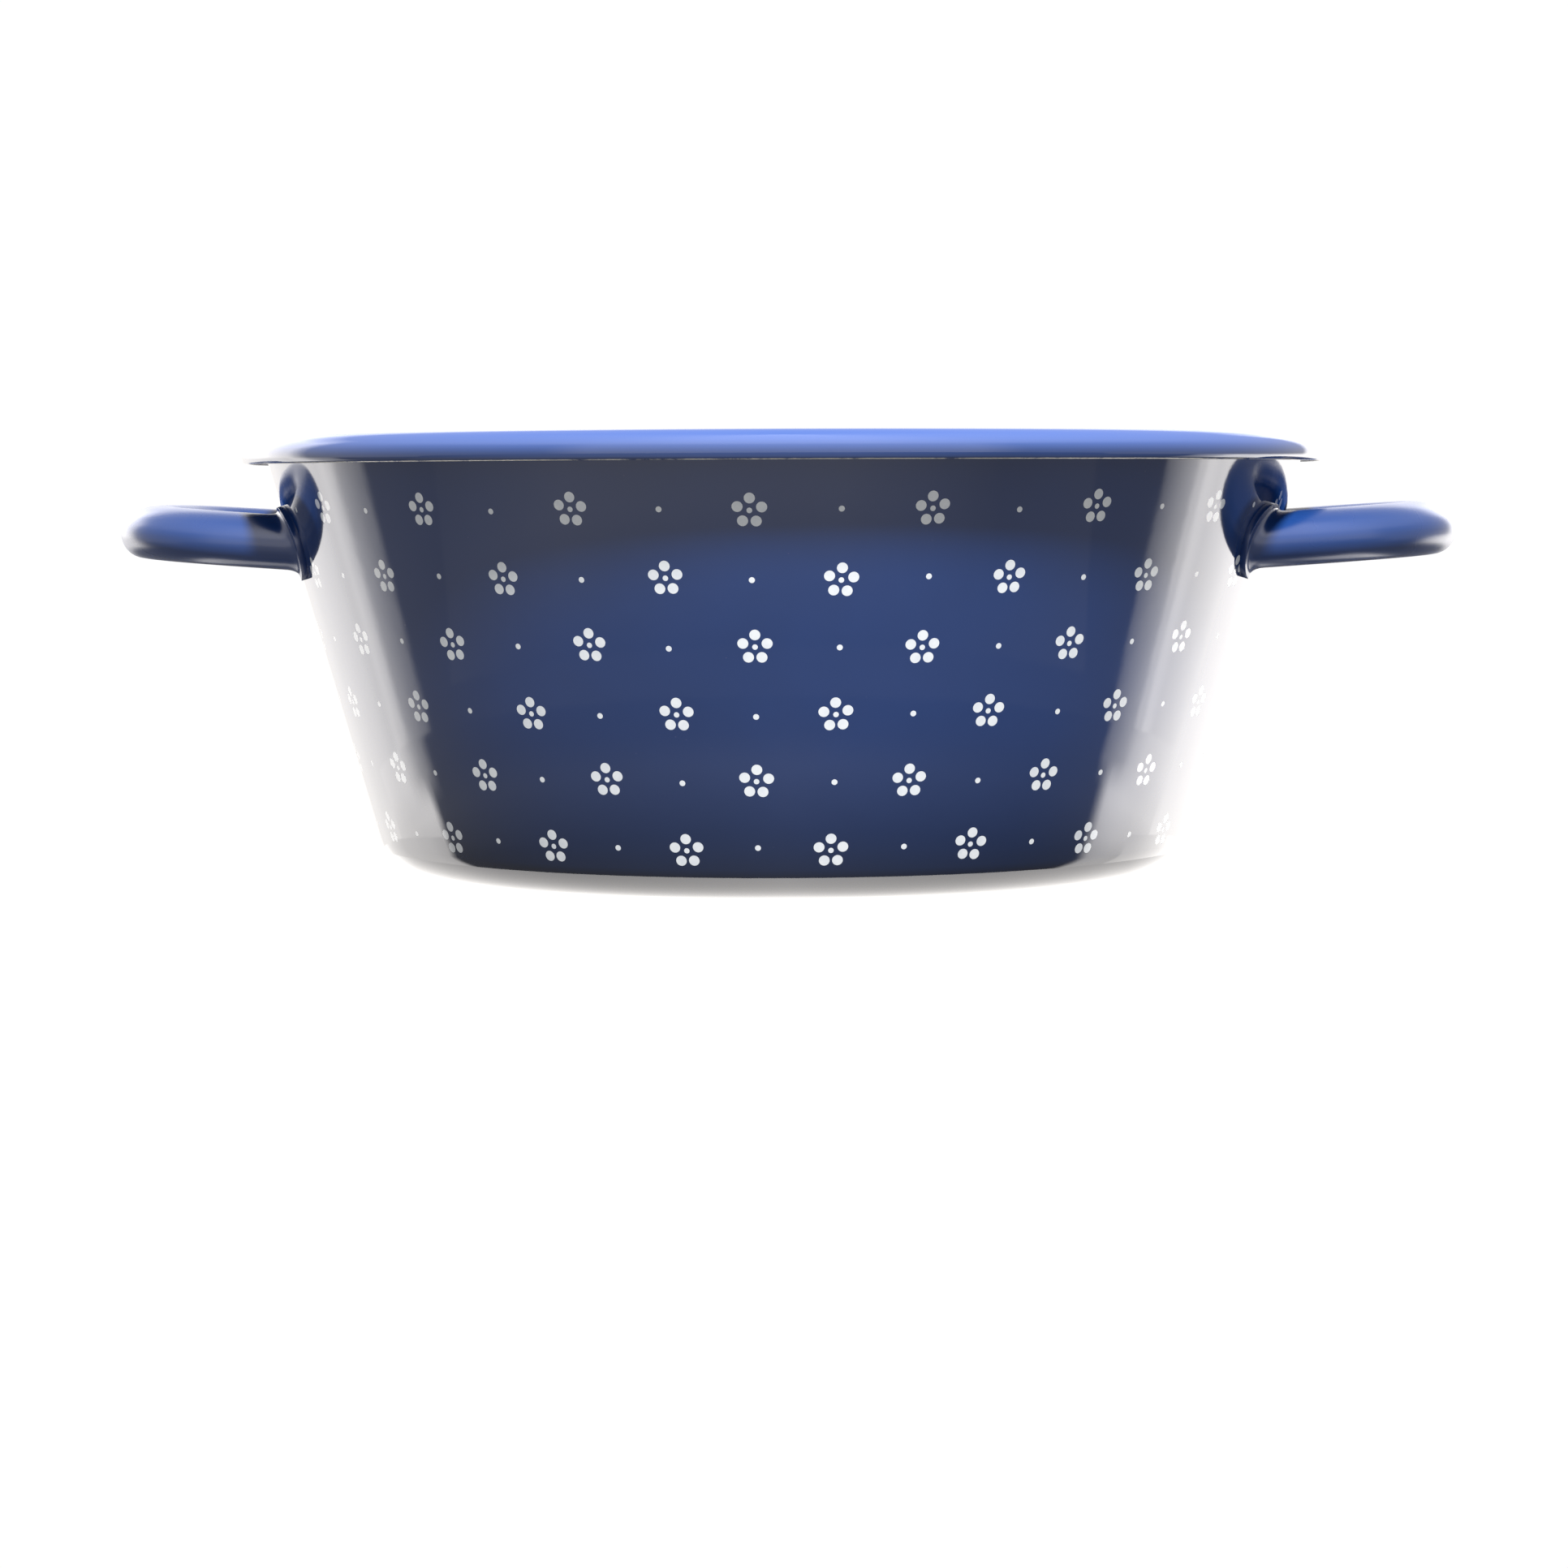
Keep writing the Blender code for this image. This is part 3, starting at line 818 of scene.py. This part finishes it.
def card(name, points, faces, glow, seen):
    """A glowing card that only the camera or only reflections see, with a radiance at each point."""
    mesh = bpy.data.meshes.new(name)
    mesh.from_pydata([staged(p) for p in points], [], faces)
    mesh.attributes.new("glow", "FLOAT", "POINT").data.foreach_set("value", glow)
    material = bpy.data.materials.new(name)
    material.cycles.emission_sampling = "NONE"
    material.use_nodes = True
    tree = material.node_tree
    tree.nodes.clear()
    radiance = tree.nodes.new("ShaderNodeAttribute")
    radiance.attribute_name = "glow"
    emission = tree.nodes.new("ShaderNodeEmission")
    tree.links.new(radiance.outputs["Fac"], emission.inputs["Strength"])
    emission.inputs["Color"].default_value = (1, 1, 1, 1) if seen else WARM_WHITE
    out = tree.nodes.new("ShaderNodeOutputMaterial")
    tree.links.new(emission.outputs["Emission"], out.inputs["Surface"])
    mesh.materials.append(material)
    made = bpy.data.objects.new(name, mesh)
    bpy.context.scene.collection.objects.link(made)
    made.visible_camera = seen
    made.visible_glossy = not seen
    made.visible_diffuse = False
    made.visible_transmission = False
    made.visible_volume_scatter = False
    made.visible_shadow = False
    return made


def around(radius, degrees, z):
    """A point at an angle from the camera's side, right positive."""
    angle = math.radians(degrees)
    return (radius * math.sin(angle), -radius * math.cos(angle), z)


def circle(radius, z):
    """Points on a level circle."""
    return [around(radius, 360 * k / CIRCLE_STEPS, z) for k in range(CIRCLE_STEPS)]


def ring_faces():
    """Faces between two circles, listed one after the other."""
    faces = []
    for k in range(CIRCLE_STEPS):
        after = (k + 1) % CIRCLE_STEPS
        faces.append((k, after, CIRCLE_STEPS + after, CIRCLE_STEPS + k))
    return faces


def grid_faces(rows, columns):
    """Faces of an open grid of points, listed row by row."""
    faces = []
    for row in range(rows - 1):
        for k in range(row * columns, (row + 1) * columns - 1):
            faces.append((k, k + 1, k + columns + 1, k + columns))
    return faces


def glow_at(stops, degrees):
    """Radiance between stops given as (degrees, radiance)."""
    for (first, low), (second, high) in zip(stops, stops[1:]):
        if degrees <= second:
            return low + (high - low) * (degrees - first) / (second - first)
    return stops[-1][1]


def make_room():
    """The surroundings that the enamel mirrors: dark in front, with bright soft boxes at the sides."""
    count = round(360 / ROOM_STEP)
    rows = (FLOOR_GLOW, FLOOR_GLOW, SIDE_GLOW, SIDE_GLOW, PANEL_GLOW, PANEL_GLOW, SKY_GLOW, SKY_GLOW)
    points, glow = [], []
    for k in range(count):
        degrees = -180 + ROOM_STEP * k
        belt = -BELT_DIP * math.cos(math.radians(degrees) / 2)
        edge = BELT_HALF + BELT_FADE
        heights = (-90, belt - edge, belt - BELT_HALF, belt + BELT_HALF, belt + edge,
                   PANEL_TOP, SKY_FOOT, 90)
        for height, stops in zip(heights, rows):
            lift = math.radians(height)
            points.append(around(ROOM_RADIUS * math.cos(lift), degrees, ROOM_RADIUS * math.sin(lift)))
            glow.append(glow_at(stops, degrees))
    faces = []
    for k in range(count):
        here, after = len(rows) * k, len(rows) * ((k + 1) % count)
        faces += [(here + j, after + j, after + j + 1, here + j + 1) for j in range(len(rows) - 1)]
    card("room", points, faces, glow, False)


def make_curtain(name, high, low):
    """Part of the curtain, with one radiance round it near the floor and another further down."""
    columns = round((high[-1][0] - high[0][0]) / CURTAIN_STEP) + 1
    points, glow = [], []
    for z, is_low, share in CURTAIN_ROWS:
        for k in range(columns):
            degrees = high[0][0] + CURTAIN_STEP * k
            points.append(around(CURTAIN_RADIUS, degrees, z))
            glow.append(share * glow_at(low if is_low else high, degrees))
    card(name, points, grid_faces(len(CURTAIN_ROWS), columns), glow, False)


def make_strip():
    """The floor in front, brightest further out and a little left of the middle."""
    angles = range(STRIP_ENDS[0], STRIP_ENDS[1] + 1, STRIP_STEP)
    points, glow = [], []
    for degrees in angles:
        outside = max(degrees - STRIP_BRIGHT[1], STRIP_BRIGHT[0] - degrees, 0.0)
        fade = min(outside / STRIP_FADE, 1.0)
        for radius, strength in zip(STRIP_RADII, STRIP_GLOW):
            points.append(around(radius, degrees, STRIP_Z))
            glow.append(strength + (STRIP_END_GLOW - strength) * fade)
    card("front_strip", points, grid_faces(len(angles), len(STRIP_RADII)), glow, False)


def make_base_card():
    """The floor under the base's rounded edge."""
    points = circle(BASE_RING[0], BASE_CARD_Z) + circle(BASE_RING[1], BASE_CARD_Z)
    angles = [(360 * k / CIRCLE_STEPS + 180) % 360 - 180 for k in range(CIRCLE_STEPS)]
    glow = [glow_at(BASE_GLOW, degrees) for degrees in angles]
    card("base_card", points, ring_faces(), glow + glow, False)


def make_floor_shade():
    """The part of the floor that the base keeps dark, so that it lights the foot of the wall less."""
    points = circle(SHADE_RADIUS, SHADE_Z)
    shade = card("floor_shade", points, [tuple(range(CIRCLE_STEPS))], [0.0] * CIRCLE_STEPS, False)
    shade.visible_glossy = False
    shade.visible_diffuse = True
    shade.visible_shadow = True


def make_back_card():
    """A low bright card behind the base, mirrored by its rounded edge."""
    angles = range(BACK_GLOW[0][0], BACK_GLOW[-1][0] + 1, BACK_STEP)
    points = [around(BACK_RADIUS, degrees, z) for z in BACK_HEIGHTS for degrees in angles]
    glow = [glow_at(BACK_GLOW, degrees) for degrees in angles]
    card("back_card", points, grid_faces(len(BACK_HEIGHTS), len(angles)), glow + glow, False)


def make_stage():
    """White floor and surround for the camera, and what the enamel mirrors."""
    floor = circle(STAGE_RADIUS, FLOOR_Z)
    wall = floor + circle(STAGE_RADIUS, STAGE_RADIUS)
    card("floor", floor, [tuple(range(CIRCLE_STEPS))], [SEEN_LIGHT] * len(floor), True)
    card("surround", wall, ring_faces(), [SEEN_LIGHT] * len(wall), True)
    make_room()
    make_curtain("curtain_right", RIGHT_HIGH, RIGHT_LOW)
    make_curtain("curtain_left", LEFT_HIGH, LEFT_LOW)
    make_strip()
    make_base_card()
    make_floor_shade()
    make_back_card()


def make_lights():
    """The key light from above the camera, and an even light from all round."""
    data = bpy.data.lights.new("front_key", "AREA")
    data.energy = KEY_POWER
    data.shape = "DISK"
    data.size = KEY_SIZE
    key = bpy.data.objects.new("front_key", data)
    key.location = staged(KEY_PLACE)
    key.rotation_mode = "QUATERNION"
    key.rotation_quaternion = (staged(KEY_TARGET) - staged(KEY_PLACE)).to_track_quat("-Z", "Y")
    key.visible_camera = False
    key.visible_glossy = False
    bpy.context.scene.collection.objects.link(key)
    world = bpy.data.worlds.new("studio")
    bpy.context.scene.world = world
    world.use_nodes = True
    background = world.node_tree.nodes["Background"]
    background.inputs["Color"].default_value = grey(1.0)
    background.inputs["Strength"].default_value = WORLD_LIGHT


def make_camera():
    """The photographed view."""
    data = bpy.data.cameras.new("camera")
    data.sensor_width = SENSOR_WIDTH
    data.lens = FOCAL_PIXELS / IMAGE_SIDE * SENSOR_WIDTH
    data.clip_end = VIEW_LIMIT
    camera = bpy.data.objects.new("camera", data)
    camera.location = staged((VIEW_SIDE, -VIEW_DISTANCE, VIEW_HEIGHT))
    turn = Matrix.Rotation(VIEW_TURN, 4, "Z") @ Matrix.Rotation(math.pi / 2 - VIEW_PITCH, 4, "X")
    camera.rotation_euler = (turn @ Matrix.Rotation(VIEW_ROLL, 4, "Z")).to_euler()
    bpy.context.scene.collection.objects.link(camera)
    bpy.context.scene.camera = camera


# Assembly

bowl_enamel = enamel_material("bowl_enamel", BOWL_GLOSS)
handle_enamel = enamel_material("handle_enamel", HANDLE_GLOSS)
bowl = make_bowl(bowl_enamel)
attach(bowl, "root")
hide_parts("bowl")
for node_name, handle_turn in (("handle_right", 0.0), ("handle_left", math.pi)):
    handle = make_handle(node_name + "_visual", handle_turn, handle_enamel)
    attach(handle, "root")
    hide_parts(node_name)
# The print is flush with the wall, so the wall neither mirrors it nor takes its shadow
flowers = make_print(print_material())
flowers.visible_shadow = False
flowers.visible_glossy = False
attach(flowers, "root")
make_stage()
make_lights()
make_camera()
bpy.context.scene.view_settings.view_transform = "Standard"
